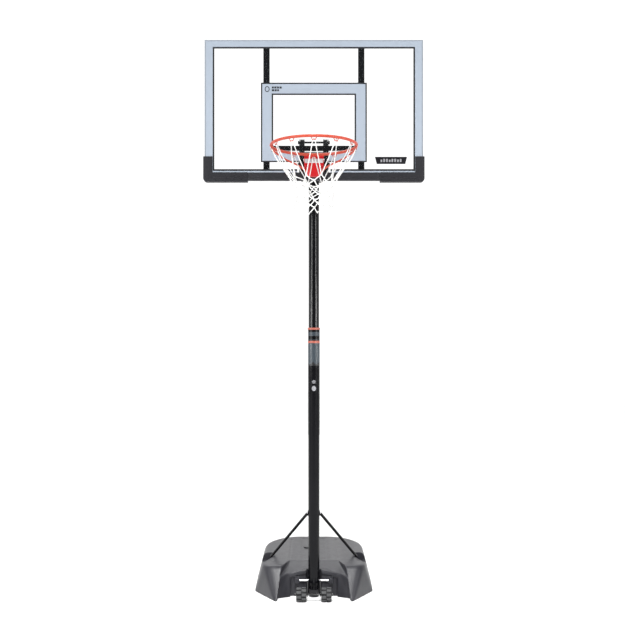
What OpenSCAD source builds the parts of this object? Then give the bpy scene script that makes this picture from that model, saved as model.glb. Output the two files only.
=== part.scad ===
// Portable basketball hoop: wheeled water-filled base, telescoping pole, framed clear board, sprung rim.
// Millimetres, +Z up. The origin is on the floor under the middle of the outline. Play is on the -Y side.
// It is drawn with the rim at the nine foot setting.

/* [Board] */
// Width of the framed board
board_w = 1290; // [1200:10:1370]
// Height of the framed board
board_h = 822; // [760:2:840]
// Height of the frame's lower edge above the floor
board_bottom = 2620; // [2615:1:2622]
// Y of the playing face
board_y = -508; // [-510:1:-506]
// Thickness of the clear panel
panel_t = 4; // [3:0.5:5]
// Width of a frame tube, seen from the front
frame_w = 40; // [30:1:45]
// Depth of a frame tube
frame_d = 25; // [22:1:25]

/* [Rim] */
// Inner diameter of the ring
ring_inner = 457; // [450:1:460]
// Diameter of the ring's rod
ring_rod = 16; // [14:1:18]
// Height of the ring's centre line
ring_z = 2743; // [2742:0.5:2744]
// Y of the ring's centre
ring_y = -848; // [-860:1:-840]
// Number of net hooks
hook_count = 12; // [8:1:12]

/* [Pole] */
// Y of the pole's axis
pole_y = 92; // [90:0.5:93]
// Outer diameter of the lower section
lower_od = 73; // [72.6:0.1:73]
// Outer diameter of the middle section
middle_od = 76.2; // [76:0.1:77]
// Outer diameter of the sliding upper section
upper_od = 69; // [68:0.1:69]
// Height of the lower end of the middle section
middle_z = 1059; // [1000:1:1080]
// Height of the top of the middle section
middle_top = 1754; // [1750:1:1760]
// Height of the top of the upper section
upper_top = 2885; // [2880:1:2890]
// Spacing of the height holes
height_step = 152.4; // [150:0.4:154]

/* [Base] */
// Height of the base
base_h = 200; // [190:1:205]
// Wall of the tank
tank_wall = 6; // [4:0.5:8]
// Diameter of a wheel
wheel_d = 90; // [80:1:92]
// Width of a wheel
wheel_w = 68; // [60:1:68]

/* [Hidden] */
$fn = 64;

// Through cuts run this far past a face
past = 1;
run_gap = 0.05;

// Colours
black = [0.09, 0.09, 0.1];
pad_black = [0.17, 0.17, 0.18];
tank_grey = [0.33, 0.33, 0.35];
rim_red = [0.80, 0.25, 0.15];
zinc = [0.75, 0.75, 0.77];
frame_grey = [0.52, 0.55, 0.58];

// Base
floor_side = [
    [252, -38], [394, 222], [397, 500], [397, 790], [389, 872], [367, 952], [312, 1022],
    [240, 1068], [182, 1086], [120, 1092.5]
];
deck_side = [
    [290, 89], [318, 100], [338, 138], [348, 217], [348, 770], [338, 842], [314, 910],
    [268, 988], [206, 1048], [130, 1078]
];
bay_floor = [[237, -130], [237, 32], [143, 78]];
bay_top = [[204, -130], [204, 60], [150, 110]];
slope_front = [222, 40, 132];
slope_rear = [165, 246];
pocket_w = 310;
pocket_y = 100;
arch_r = 416;
arch_z = 150;
brow_y = [90, 166];
brow_t = 24;
pole_slot_w = 96;
pole_slot_y = 134;
notch_x = 283;
notch_y = [395, 495];
notch_z = 140;
fall_x = [270, 360];
fall_y = [240, 200];
fall_z = 144;
groove = [14, 3];
groove_x = 165;
groove_y = [300, 960];
cap_pos = [-42, 676];
cap_seat = base_h - 6;
cap_r = 30;
neck_r = 25;
water_z = 168;
rod_z = 105;
rod_r = 6.35;
rod_half = 120;
lug = [30, 20, 34];
lug_x = 95;
axle_y = -40;
axle_z = 46.5;
axle_r = 6;
wheel_x = 46;
bracket_x = 38.5;
bracket_t = 5;
bracket_r = 14;
bracket_half = 12.5;

// Pole
lower_wall = 1.5;
lower_top = 1160;
foot_r = 28;
foot_z = [8, 70, 100];
middle_ir = lower_od / 2 + 0.1;
upper_wall = 2;
upper_z = 1240;
label_z = [1510, 1662];
collar_top = middle_top + 4;
lock_z = 1600;
lock_hole_r = 5.5;
pin_r = 4.5;
pin_tip = pole_y + 26;
lock_back = 168;
screw_z = 1110;
strut_z = 548;
strut_bolt_r = 4;
strut_r = 9.5;
strut_top = [44, 100, 540];
strut_foot = [293, 425, 190];
strut_bolt_z = 170;
strut_bolt_y = 432;

// Board carrier
back_y = board_y + panel_t;
rear_y = back_y + frame_d;
board_top = board_bottom + board_h;
frame_lip = 8;
tube_t = 1.6;
bar_x = 280;
bar_w = 37;
cross_z = 2790;
cross_h = 28;
channel_x = 71;
channel_w = 32;
channel_t = 2.5;
arm_x = 70;
arm_w = 24;
arm_h = 36;
arm_wall = 2;
arm_front_y = -455;
arm_front_z = 2848;
arm_drop = 130;
arm_rise = 14;
arm_run = pole_y - arm_front_y;
arm_len = sqrt(arm_run * arm_run + arm_rise * arm_rise);
arm_tilt = atan(arm_rise / arm_run);
bolt_r = 6;
head_half = 57;
head_z = [2712, 2880];
head_depth = 84;

// Pads
pad_y = [board_y - 6, rear_y + 7];
pad_gap = 0.2;
pad_side = board_w / 2 + 8;
corner_leg = 263;
corner_rise = 150;
corner_w = 55;
corner_z = [board_bottom - 16, board_bottom + 40];
bottom_pad_z = [board_bottom - 7, board_bottom + 39];
badge_pos = [455, 2730];
badge_top = 95;
badge_foot = 84;
badge_half = 21;

// Rim
ring_r = (ring_inner + ring_rod) / 2;
hinge_y = -532;
hinge_z = 2727;
hinge_r = 5;
mount_y = board_y - 5;
mount_z = [2664, 2756];
face_y = -603;
shell_t = 4;
house_top = ring_z - ring_rod / 2 + 2;
house_z = [2620, 2642, 2680];
house_x = [56, 44];
nose_x = 18;
fold_depth = 22;
fold_z = 2682;
spring_x = 22;
spring_z = 2702;
rim_bolt_x = 34;
rim_bolt_z = [2680, 2742];
net_profile = [[222, 2726], [201, 2660], [154, 2605], [118, 2555], [112, 2470], [112, 2385]];
net_t = 3;
brace_r = 5;
brace_route = [
    [233, -807, 2731], [207, -748, 2717], [163, -683, 2701],
    [112, -630, 2687], [80, -606, 2675], [40, -588, 2648]
];

// A square-section tube lying along Z, from its lower corner
module tube_z(size, wall) {
    difference() {
        cube(size);
        translate([wall, wall, -past]) cube([size.x - 2 * wall, size.y - 2 * wall, size.z + 2 * past]);
    }
}

// A square-section tube lying along X, from its lower corner
module tube_x(size, wall) {
    difference() {
        cube(size);
        translate([-past, wall, wall]) cube([size.x + 2 * past, size.y - 2 * wall, size.z - 2 * wall]);
    }
}

// A round bar along X between two X values
module bar_x_axis(r, x0, x1) {
    translate([x0, 0, 0]) rotate([0, 90, 0]) cylinder(r = r, h = x1 - x0);
}

// A round bar along Y between two Y values
module bar_y_axis(r, y0, y1) {
    translate([0, y0, 0]) rotate([-90, 0, 0]) cylinder(r = r, h = y1 - y0);
}

// The same thing on both sides of the middle
module both_sides() {
    children();
    mirror([1, 0, 0]) children();
}

// A round bar between two points
module rod_between(a, b, r) {
    d = b - a;
    translate(a) rotate([0, acos(d.z / norm(d)), atan2(d.y, d.x)]) cylinder(r = r, h = norm(d));
}

// A helical spring along Z: mean radius, wire radius, length and turns
module helix(r, wire, length, turns) {
    sides = 8;
    per_turn = 12;
    steps = turns * per_turn;
    pts = [for (i = [0 : steps], k = [0 : sides - 1])
        let (a = 360 * i / per_turn, q = 360 * k / sides, rr = r + wire * cos(q))
        [rr * cos(a), rr * sin(a), wire + (length - 2 * wire) * i / steps + wire * sin(q)]];
    walls = [for (i = [0 : steps - 1], k = [0 : sides - 1])
        [i * sides + k, (i + 1) * sides + k, (i + 1) * sides + (k + 1) % sides, i * sides + (k + 1) % sides]];
    ends = [[for (k = [0 : sides - 1]) k], [for (k = [sides - 1 : -1 : 0]) steps * sides + k]];
    polyhedron(points = pts, faces = concat(walls, ends), convexity = 10);
}

// A round rod swept along a list of points
module swept_rod(route, r) {
    sides = 10;
    last = len(route) - 1;
    pts = [for (i = [0 : last], k = [0 : sides - 1])
        let (t = route[min(i + 1, last)] - route[max(i - 1, 0)],
             u = cross(t, [0, 0, 1]) / norm(cross(t, [0, 0, 1])),
             v = cross(u, t) / norm(cross(u, t)),
             q = 360 * k / sides)
        route[i] + r * (cos(q) * u + sin(q) * v)];
    walls = [for (i = [0 : last - 1], k = [0 : sides - 1])
        [i * sides + k, i * sides + (k + 1) % sides, (i + 1) * sides + (k + 1) % sides, (i + 1) * sides + k]];
    ends = [[for (k = [sides - 1 : -1 : 0]) k], [for (k = [0 : sides - 1]) last * sides + k]];
    polyhedron(points = pts, faces = concat(walls, ends), convexity = 4);
}

// ---- Base ----

// A flat outline from its right half, as a thin slab at a height
module base_slab(half, z, t, grow) {
    n = len(half);
    left = [for (i = [n - 1 : -1 : 0]) [-half[i].x, half[i].y]];
    translate([0, 0, z]) linear_extrude(t) offset(delta = grow) polygon(concat(half, left));
}

// The tank's outer form, or with an inset the same form that much inside
module tank_form(inset) {
    edge = 12;
    difference() {
        hull() {
            base_slab(floor_side, inset, 1, -inset);
            base_slab(deck_side, base_h - edge - inset, 1, -inset);
            base_slab(deck_side, base_h - 1 - inset, 1, -edge - inset);
        }
        hull() {
            base_slab(bay_floor, -2, 1, inset);
            base_slab(bay_top, base_h + 5, 1, inset);
        }
        slope_cut(inset);
        wheel_pocket(inset);
        both_sides() {
            strut_notch(inset);
            notch_fall(inset);
        }
    }
}

// The wedge above the front slope
module slope_cut(grow) {
    hull() {
        translate([-slope_front.x - grow, slope_front.y, slope_front.z - grow])
            cube([2 * (slope_front.x + grow), 1, 100]);
        translate([-slope_rear.x - grow, slope_rear.y, base_h - grow])
            cube([2 * (slope_rear.x + grow), 1, 40]);
    }
}

// The raised brow over the wheel pocket, which stands on the front slope
module pocket_brow() {
    difference() {
        intersection() {
            translate([-pocket_w / 2, brow_y[0], arch_z - brow_t])
                cube([pocket_w, brow_y[1] - brow_y[0], 4 * brow_t]);
            translate([0, 0, arch_z - arch_r]) bar_y_axis(arch_r + brow_t, 0, base_h);
            slope_cut(tank_wall / 2);
        }
        wheel_pocket(0);
    }
}

// The arched pocket at the front, and the slot behind the pole
module wheel_pocket(grow) {
    intersection() {
        translate([-pocket_w / 2 - grow, -150, -2])
            cube([pocket_w + 2 * grow, 150 + pocket_y + grow, base_h]);
        translate([0, 0, arch_z - arch_r]) bar_y_axis(arch_r + grow, -160, base_h);
    }
    translate([-pole_slot_w / 2 - grow, -150, -2])
        cube([pole_slot_w + 2 * grow, 150 + pole_slot_y + grow, base_h + 10]);
}

// The open notch in the deck where a strut ends
module strut_notch(grow) {
    translate([notch_x - grow, notch_y[0] - grow, notch_z - grow])
        cube([200, notch_y[1] - notch_y[0] + 2 * grow, base_h]);
}

// The deck's fall from a front shoulder down into the strut notch
module notch_fall(grow) {
    rear = notch_y[1] + grow;
    hull() {
        translate([fall_x[0] - grow, fall_y[0], base_h - grow]) cube([1, rear - fall_y[0], 60]);
        translate([fall_x[1] - grow, fall_y[1], base_h - grow]) cube([140, rear - fall_y[1], 60]);
        translate([fall_x[1] - grow, notch_y[0], fall_z - grow]) cube([140, rear - notch_y[0], 60]);
    }
}

module base_tank() {
    color(tank_grey) difference() {
        union() {
            difference() {
                tank_form(0);
                tank_form(tank_wall);
                translate([cap_pos.x, cap_pos.y, cap_seat]) cylinder(r = cap_r + 6, h = 20);
            }
            both_sides() translate([lug_x, pocket_y - lug.y, rod_z - lug.z / 2])
                cube([lug.x, lug.y + 3, lug.z]);
            translate([cap_pos.x, cap_pos.y, cap_seat - tank_wall - 8])
                cylinder(r = cap_r + 8, h = tank_wall + 8);
            both_sides() translate([notch_x - 24, strut_bolt_y - 16, notch_z + 10]) cube([24, 32, 40]);
            pocket_brow();
        }
        translate([cap_pos.x, cap_pos.y, cap_seat - 50]) cylinder(r = neck_r, h = 60);
        translate([0, pole_y, rod_z]) bar_x_axis(rod_r + run_gap, -rod_half - 0.5, rod_half + 0.5);
        both_sides() {
            translate([0, strut_bolt_y, strut_bolt_z])
                bar_x_axis(strut_bolt_r + 0.1, notch_x - 20, notch_x + 5);
            translate([groove_x - groove[0] / 2, groove_y[0], base_h - groove[1]])
                cube([groove[0], groove_y[1] - groove_y[0], 10]);
        }
    }
}

module water_fill() {
    gap = 0.5;
    color("lightblue") difference() {
        intersection() {
            tank_form(tank_wall + gap);
            translate([-500, -200, 0]) cube([1000, 1400, water_z]);
        }
        both_sides() translate([notch_x - 25, strut_bolt_y - 17, notch_z + 9]) cube([26, 34, 60]);
    }
}

module fill_cap() {
    grips = 12;
    color(black) translate([cap_pos.x, cap_pos.y, 0]) {
        difference() {
            translate([0, 0, cap_seat + 1.4]) cylinder(r = cap_r, h = 8);
            for (i = [0 : grips - 1]) rotate([0, 0, i * 360 / grips])
                translate([cap_r + 1, 0, cap_seat]) cylinder(r = 3, h = 12);
        }
        translate([0, 0, cap_seat - 16]) cylinder(r = neck_r - run_gap, h = 17.4);
    }
}

module cap_seal() {
    color("dimgray") translate([cap_pos.x, cap_pos.y, cap_seat + 0.2]) difference() {
        cylinder(r = cap_r - 1, h = 1.2);
        translate([0, 0, -past]) cylinder(r = neck_r + 0.3, h = 4);
    }
}

module pole_rod() {
    color(zinc) translate([0, pole_y, rod_z]) bar_x_axis(rod_r, -rod_half, rod_half);
}

module foot_cap() {
    color(black) translate([0, pole_y, 0]) difference() {
        translate([0, 0, 3]) cylinder(r = foot_r + 4, h = 45);
        translate([0, 0, foot_z[0]]) cylinder(r = foot_r + run_gap, h = 60);
    }
}

module wheel_brackets() {
    run = [axle_y - pole_y, axle_z - rod_z];
    x1 = bracket_x + bracket_t + past;
    color(black) both_sides() difference() {
        union() {
            translate([0, pole_y, rod_z]) bar_x_axis(bracket_r, bracket_x, bracket_x + bracket_t);
            translate([0, axle_y, axle_z]) bar_x_axis(bracket_r, bracket_x, bracket_x + bracket_t);
            translate([bracket_x, pole_y, rod_z]) rotate([atan2(run.y, run.x), 0, 0])
                translate([0, 0, -bracket_half]) cube([bracket_t, norm(run), 2 * bracket_half]);
        }
        translate([0, pole_y, rod_z]) bar_x_axis(rod_r + run_gap, bracket_x - past, x1);
        translate([0, axle_y, axle_z]) bar_x_axis(axle_r + run_gap, bracket_x - past, x1);
    }
}

module wheel_axle() {
    half = wheel_x + wheel_w + 7;
    color(zinc) translate([0, axle_y, axle_z]) bar_x_axis(axle_r, -half, half);
}

module axle_caps() {
    x0 = wheel_x + wheel_w + 1;
    color(zinc) both_sides() translate([0, axle_y, axle_z]) difference() {
        bar_x_axis(10, x0, x0 + 8);
        bar_x_axis(axle_r + run_gap, x0 - past, x0 + 6.1);
    }
}

// One wheel: a tyre-shaped barrel with a groove round its middle and a dished hub
module wheel() {
    r = wheel_d / 2;
    w = wheel_w;
    color(black) translate([wheel_x, axle_y, axle_z]) rotate([0, 90, 0]) rotate_extrude()
        polygon([[axle_r + run_gap, 0], [16, 0], [18, 6], [r - 12, 6], [r - 9, 0], [r - 4, 1], [r, 6],
            [r, w / 2 - 3], [r - 4, w / 2 - 2], [r - 4, w / 2 + 2], [r, w / 2 + 3],
            [r, w - 6], [r - 4, w - 1], [r - 9, w], [r - 12, w - 6], [18, w - 6], [16, w],
            [axle_r + run_gap, w]]);
}

module wheel_left() {
    mirror([1, 0, 0]) wheel();
}

module wheel_right() {
    wheel();
}

// ---- Pole ----

// The lower pole's solid form: a narrowed foot, a cone and the long tube
module lower_form(inset) {
    r = lower_od / 2 - inset;
    cylinder(r = foot_r - inset, h = foot_z[1]);
    translate([0, 0, foot_z[1]]) cylinder(r1 = foot_r - inset, r2 = r, h = foot_z[2] - 5 - foot_z[1]);
    translate([0, 0, foot_z[2] - 5]) cylinder(r = r, h = lower_top - foot_z[2] + 5);
}

module pole_lower() {
    color(black) translate([0, pole_y, 0]) difference() {
        lower_form(0);
        translate([0, 0, -past]) cylinder(r = foot_r + past, h = foot_z[0] + past);
        lower_form(lower_wall);
        translate([0, 0, lower_top - past]) cylinder(r = lower_od / 2 - lower_wall, h = 5);
        translate([0, 0, rod_z]) bar_x_axis(rod_r + run_gap, -50, 50);
        translate([0, 0, strut_z]) bar_x_axis(strut_bolt_r + run_gap, -50, 50);
        translate([0, 0, screw_z]) bar_y_axis(3.1, 0, 50);
    }
}

module pole_middle() {
    color(black) translate([0, pole_y, 0]) difference() {
        translate([0, 0, middle_z]) cylinder(r = middle_od / 2, h = middle_top - middle_z);
        translate([0, 0, middle_z - past]) cylinder(r = middle_ir, h = middle_top - middle_z + 2 * past);
        translate([0, 0, lock_z]) bar_y_axis(pin_r + 0.5, 0, 50);
        translate([0, 0, screw_z]) bar_y_axis(3.1, 0, 50);
    }
}

module pole_screw() {
    color(zinc) translate([0, pole_y, screw_z]) {
        bar_y_axis(3, lower_od / 2 - 1, middle_od / 2 + 1);
        bar_y_axis(7, middle_od / 2 + 0.1, middle_od / 2 + 5);
    }
}

module slide_collar() {
    ri = upper_od / 2 + run_gap;
    ro = middle_ir - 0.05;
    skirt_ri = middle_od / 2 + 0.1;
    skirt_ro = middle_od / 2 + 2.4;
    color("darkorange") translate([0, pole_y, 0]) rotate_extrude()
        polygon([[ri, middle_top - 55], [ro, middle_top - 55], [ro, middle_top], [skirt_ri, middle_top],
            [skirt_ri, collar_top - 13], [skirt_ro, collar_top - 13], [skirt_ro, collar_top - 1],
            [skirt_ro - 1, collar_top], [ri, collar_top]]);
}

module height_label() {
    h = label_z[1] - label_z[0];
    color("slategray") difference() {
        translate([0, pole_y, label_z[0]]) cylinder(r = middle_od / 2 + 0.5, h = h);
        translate([0, pole_y, label_z[0] - past]) cylinder(r = middle_od / 2 + 0.05, h = h + 2 * past);
        translate([-26, pole_y, label_z[0] - past]) cube([52, 60, h + 2 * past]);
    }
}

// One strut: a tube with a flattened, drilled tab at each end
module strut() {
    tab = 4;
    top_x = lower_od / 2 + 0.5;
    color(black) difference() {
        union() {
            rod_between(strut_top, strut_foot, strut_r);
            translate([top_x, pole_y - 12, strut_z - 20]) cube([tab, 26, 34]);
            translate([notch_x + 0.5, strut_bolt_y - 13, strut_bolt_z - 15]) cube([tab, 26, 34]);
        }
        translate([0, pole_y, strut_z]) bar_x_axis(strut_bolt_r + run_gap, 0, 46);
        translate([0, pole_y, 0]) cylinder(r = lower_od / 2 + 0.4, h = 700);
        translate([0, strut_bolt_y, strut_bolt_z])
            bar_x_axis(strut_bolt_r + run_gap, notch_x - 5, notch_x + 30);
        translate([notch_x - 60, notch_y[0] - 10, 100]) cube([60.4, 90, 100]);
    }
}

module strut_left() {
    mirror([1, 0, 0]) strut();
}

module strut_right() {
    strut();
}

module strut_bolt() {
    half = lower_od / 2 + 4.6;
    color(zinc) translate([0, pole_y, strut_z]) {
        bar_x_axis(strut_bolt_r, -half - 6, half + 6);
        both_sides() translate([half, 0, 0]) rotate([0, 90, 0]) cylinder(r = 7.5, h = 6, $fn = 6);
    }
}

module strut_base_bolts() {
    color(zinc) both_sides() translate([0, strut_bolt_y, strut_bolt_z]) {
        bar_x_axis(strut_bolt_r, notch_x - 18, notch_x + 10);
        translate([notch_x + 4.6, 0, 0]) rotate([0, 90, 0]) cylinder(r = 7.5, h = 6, $fn = 6);
    }
}

// The welded box on the back of the middle section that holds the lock pin and its spring
module lock_housing() {
    front = pole_y + middle_od / 2 - 6;
    bore_r = 9.5;
    color(black) difference() {
        translate([-16, front, lock_z - 25]) cube([32, lock_back - front, 50]);
        translate([0, pole_y, lock_z - 40]) cylinder(r = middle_od / 2 + run_gap, h = 80);
        translate([0, 0, lock_z]) bar_y_axis(pin_r + run_gap, front - past, lock_back + past);
        translate([0, 0, lock_z]) bar_y_axis(bore_r, 135, lock_back - 5);
    }
}

module lock_pin() {
    color(zinc) translate([0, 0, lock_z]) {
        bar_y_axis(pin_r, pin_tip, lock_back + 14);
        bar_y_axis(8.5, 136, 139);
    }
}

module pin_knob() {
    color("crimson") translate([0, 0, lock_z]) difference() {
        union() {
            bar_y_axis(9, lock_back + 1, lock_back + 12);
            bar_y_axis(15, lock_back + 8, lock_back + 24);
        }
        bar_y_axis(pin_r + run_gap, lock_back - past, lock_back + 14.2);
    }
}

module pin_spring() {
    color(zinc) translate([0, 139.2, lock_z]) rotate([-90, 0, 0]) helix(6.9, 0.9, lock_back - 5 - 139.4, 6);
}

module pole_upper() {
    h = upper_top - upper_z;
    color(black) translate([0, pole_y, 0]) difference() {
        translate([0, 0, upper_z]) cylinder(r = upper_od / 2, h = h);
        translate([0, 0, upper_z - past]) cylinder(r = upper_od / 2 - upper_wall, h = h + 2 * past);
        for (k = [-2 : 4]) translate([0, 0, lock_z + k * height_step]) bar_y_axis(lock_hole_r, 0, 50);
        for (z = [arm_front_z, arm_front_z - arm_drop]) translate([0, 0, z + arm_rise])
            bar_x_axis(bolt_r + 0.1, -50, 50);
    }
}

module guide_plug() {
    plug_r = lower_od / 2 - lower_wall - run_gap;
    color("white") translate([0, pole_y, 0]) difference() {
        union() {
            translate([0, 0, upper_z - 8]) cylinder(r = plug_r, h = 7.9);
            translate([0, 0, upper_z - 0.2]) cylinder(r = upper_od / 2 - upper_wall - 0.1, h = 18);
        }
        translate([0, 0, upper_z - 9]) cylinder(r = upper_od / 2 - upper_wall - 4, h = 40);
    }
}

module pole_cap() {
    color(black) translate([0, pole_y, 0]) {
        translate([0, 0, upper_top]) cylinder(r = upper_od / 2 + 1, h = 5);
        translate([0, 0, upper_top - 8]) cylinder(r = upper_od / 2 - upper_wall - 0.1, h = 9);
    }
}

// ---- Board carrier ----

// Side plates outside the pole, joined by two webs that the pole passes through
module head_bracket() {
    t = 4.5;
    color(black) difference() {
        union() {
            both_sides() translate([head_half - t, pole_y - head_depth / 2, head_z[0]])
                cube([t, head_depth, head_z[1] - head_z[0]]);
            for (z = [head_z[0], head_z[1] - t]) translate([-head_half + past, pole_y - head_depth / 2, z])
                cube([2 * head_half - 2 * past, head_depth, t]);
        }
        translate([0, pole_y, head_z[0] - past]) cylinder(r = upper_od / 2 + run_gap, h = 200);
        for (z = [arm_front_z, arm_front_z - arm_drop]) translate([0, pole_y, z + arm_rise])
            bar_x_axis(bolt_r + 0.1, -head_half - past, head_half + past);
    }
}

// One arm from a channel back to the head bracket, with a round end at each bolt
module arm(z) {
    end_r = arm_h / 2;
    color(black) translate([arm_x, arm_front_y, z]) rotate([arm_tilt, 0, 0]) difference() {
        union() {
            translate([-arm_w / 2, 0, -end_r]) cube([arm_w, arm_len, arm_h]);
            for (y = [0, arm_len]) translate([0, y, 0]) bar_x_axis(end_r, -arm_w / 2, arm_w / 2);
        }
        translate([-arm_w / 2 + arm_wall, end_r, -end_r + arm_wall])
            cube([arm_w - 2 * arm_wall, arm_len - arm_h, arm_h - 2 * arm_wall]);
        for (y = [0, arm_len]) translate([0, y, 0]) bar_x_axis(bolt_r + 0.1, -arm_w, arm_w);
    }
}

module arm_upper_left() {
    mirror([1, 0, 0]) arm(arm_front_z);
}

module arm_upper_right() {
    arm(arm_front_z);
}

module arm_lower_left() {
    mirror([1, 0, 0]) arm(arm_front_z - arm_drop);
}

module arm_lower_right() {
    arm(arm_front_z - arm_drop);
}

// Four long bolts with a hex head and nut: two through the channels and two through the head bracket
module arm_bolts() {
    head = 8;
    color(black) for (z = [arm_front_z, arm_front_z - arm_drop]) {
        translate([0, arm_front_y, z]) arm_bolt(channel_x + channel_w / 2 + 0.1, head);
        translate([0, pole_y, z + arm_rise]) arm_bolt(arm_x + arm_w / 2 + 0.1, head);
    }
}

module arm_bolt(half, head) {
    bar_x_axis(bolt_r, -half - head, half + head);
    both_sides() translate([half, 0, 0]) rotate([0, 90, 0]) cylinder(r = 11, h = head, $fn = 6);
}

// An upright channel, open to the rear, with round ears above its web for the upper arm bolt
module channel() {
    x0 = channel_x - channel_w / 2;
    ear_r = 20;
    z0 = board_bottom + 4;
    y1 = arm_front_y + ear_r;
    color(black) difference() {
        union() {
            translate([x0, rear_y, z0]) cube([channel_w, channel_t, arm_front_z - 10 - z0]);
            for (x = [x0, x0 + channel_w - channel_t]) {
                translate([x, rear_y, z0]) cube([channel_t, y1 - rear_y, arm_front_z - z0]);
                translate([0, arm_front_y, arm_front_z]) bar_x_axis(ear_r, x, x + channel_t);
            }
        }
        for (z = [arm_front_z, arm_front_z - arm_drop]) translate([0, arm_front_y, z])
            bar_x_axis(bolt_r + 0.1, x0 - past, x0 + channel_w + past);
    }
}

module channel_left() {
    mirror([1, 0, 0]) channel();
}

module channel_right() {
    channel();
}

module cross_bar() {
    half = bar_x - bar_w / 2;
    color(black) translate([-half, back_y, cross_z]) tube_x([2 * half, frame_d, cross_h], tube_t);
}

module board_bar(x) {
    z0 = board_bottom + frame_w;
    color(black) translate([x - bar_w / 2, back_y, z0])
        tube_z([bar_w, frame_d, board_top - frame_w - z0], tube_t);
}

module board_bar_left() {
    board_bar(-bar_x);
}

module board_bar_right() {
    board_bar(bar_x);
}

// ---- Board ----

// A level frame tube between the side tubes, with a lip that covers the panel's edge
module frame_level(z, lip_z) {
    half = board_w / 2 - frame_w;
    color(frame_grey) {
        translate([-half, back_y, z]) tube_x([2 * half, frame_d, frame_w], tube_t);
        translate([-half, board_y, lip_z]) cube([2 * half, panel_t + tube_t, frame_lip]);
    }
}

module frame_top() {
    frame_level(board_top - frame_w, board_top - frame_lip);
}

module frame_bottom() {
    frame_level(board_bottom, board_bottom);
}

module frame_side() {
    color(frame_grey) {
        translate([board_w / 2 - frame_w, back_y, board_bottom])
            tube_z([frame_w, frame_d, board_h], tube_t);
        translate([board_w / 2 - frame_lip, board_y, board_bottom])
            cube([frame_lip, panel_t + tube_t, board_h]);
        for (z = [board_bottom, board_top - frame_lip]) translate([board_w / 2 - frame_w, board_y, z])
            cube([frame_w, panel_t + tube_t, frame_lip]);
    }
}

module frame_left() {
    mirror([1, 0, 0]) frame_side();
}

module frame_right() {
    frame_side();
}

// The holes of the four rim bolts
module rim_bolt_holes(r, y0, y1) {
    for (x = [-rim_bolt_x, rim_bolt_x], z = rim_bolt_z) translate([x, 0, z]) bar_y_axis(r, y0, y1);
}

module board_panel() {
    color([0.85, 0.9, 0.92, 0.35]) difference() {
        translate([-board_w / 2 + frame_lip, board_y, board_bottom + frame_lip])
            cube([board_w - 2 * frame_lip, panel_t, board_h - 2 * frame_lip]);
        rim_bolt_holes(5.2, board_y - past, back_y + past);
    }
}

// The space that the frame's lower edge and the panel take up inside a pad
module pad_pocket(x1) {
    translate([-x1, board_y - pad_gap, board_bottom - pad_gap])
        cube([2 * x1, rear_y - board_y + 2 * pad_gap, 300]);
}

// A moulded L-shaped pad that wraps a lower corner of the board
module corner_pad() {
    x0 = pad_side - corner_leg;
    r = 22;
    color(pad_black) difference() {
        translate([0, pad_y[1], 0]) rotate([90, 0, 0]) linear_extrude(pad_y[1] - pad_y[0]) {
            translate([x0, corner_z[0]]) square([corner_leg - r, corner_z[1] - corner_z[0]]);
            translate([pad_side - corner_w, corner_z[0] + r]) square([corner_w, corner_rise - r]);
            translate([pad_side - r, corner_z[0] + r]) circle(r = r);
        }
        pad_pocket(board_w / 2 + pad_gap);
    }
}

module corner_pad_left() {
    mirror([1, 0, 0]) corner_pad();
}

module corner_pad_right() {
    corner_pad();
}

module bottom_pad() {
    half = pad_side - corner_leg - 1;
    color(pad_black) difference() {
        translate([-half, board_y - 4, bottom_pad_z[0]])
            cube([2 * half, rear_y - board_y + 4, bottom_pad_z[1] - bottom_pad_z[0]]);
        pad_pocket(half + past);
    }
}

module board_badge() {
    r = 6;
    corners = [for (s = [-1, 1]) each
        [[s * (badge_top - r), badge_half - r], [s * (badge_foot - r), r - badge_half]]];
    color(pad_black) translate([badge_pos.x, board_y - 0.05, badge_pos.y]) rotate([90, 0, 0])
        linear_extrude(2) hull() for (p = corners) translate(p) circle(r = r);
}

// ---- Rim ----

module backing_plate() {
    half = channel_x + channel_w / 2;
    color(black) difference() {
        translate([-half, rear_y - 3, board_bottom + frame_w + 5]) cube([2 * half, 3, 120]);
        rim_bolt_holes(5.1, rear_y - 5, rear_y + past);
    }
}

module rim_spacers() {
    color(zinc) difference() {
        rim_bolt_holes(9, back_y, rear_y - 3);
        rim_bolt_holes(5.1, back_y - past, rear_y);
    }
}

module rim_bolts() {
    color(zinc) for (x = [-rim_bolt_x, rim_bolt_x], z = rim_bolt_z) translate([x, 0, z]) {
        bar_y_axis(5, mount_y - 3, rear_y + 9);
        bar_y_axis(8, mount_y - 5, mount_y);
        translate([0, rear_y, 0]) rotate([-90, 0, 0]) cylinder(r = 8.5, h = 7, $fn = 6);
    }
}

// The fixed plate on the board, with two hinge ears and two spring guides
module rim_mount() {
    ear_r = 12;
    color(rim_red) difference() {
        union() {
            translate([-58, mount_y, mount_z[0]]) cube([116, board_y - mount_y, mount_z[1] - mount_z[0]]);
            both_sides() {
                translate([44, hinge_y, hinge_z - ear_r]) cube([4, mount_y - hinge_y + past, 2 * ear_r]);
                translate([0, hinge_y, hinge_z]) bar_x_axis(ear_r, 44, 48);
                translate([spring_x, 0, spring_z]) bar_y_axis(8, mount_y - 40, mount_y + past);
            }
        }
        rim_bolt_holes(5.1, mount_y - past, board_y + past);
        translate([0, hinge_y, hinge_z]) bar_x_axis(hinge_r + run_gap, -60, 60);
    }
}

module hinge_pin() {
    half = house_x[0] + 1;
    color(zinc) translate([0, hinge_y, hinge_z]) {
        bar_x_axis(hinge_r, -half - 4, half + 4);
        both_sides() bar_x_axis(8, half, half + 4);
    }
}

module rim_springs() {
    color(zinc) both_sides() translate([spring_x, mount_y - 0.2, spring_z]) rotate([90, 0, 0])
        helix(11.5, 2, mount_y - face_y - shell_t - 0.4, 7);
}

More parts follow.
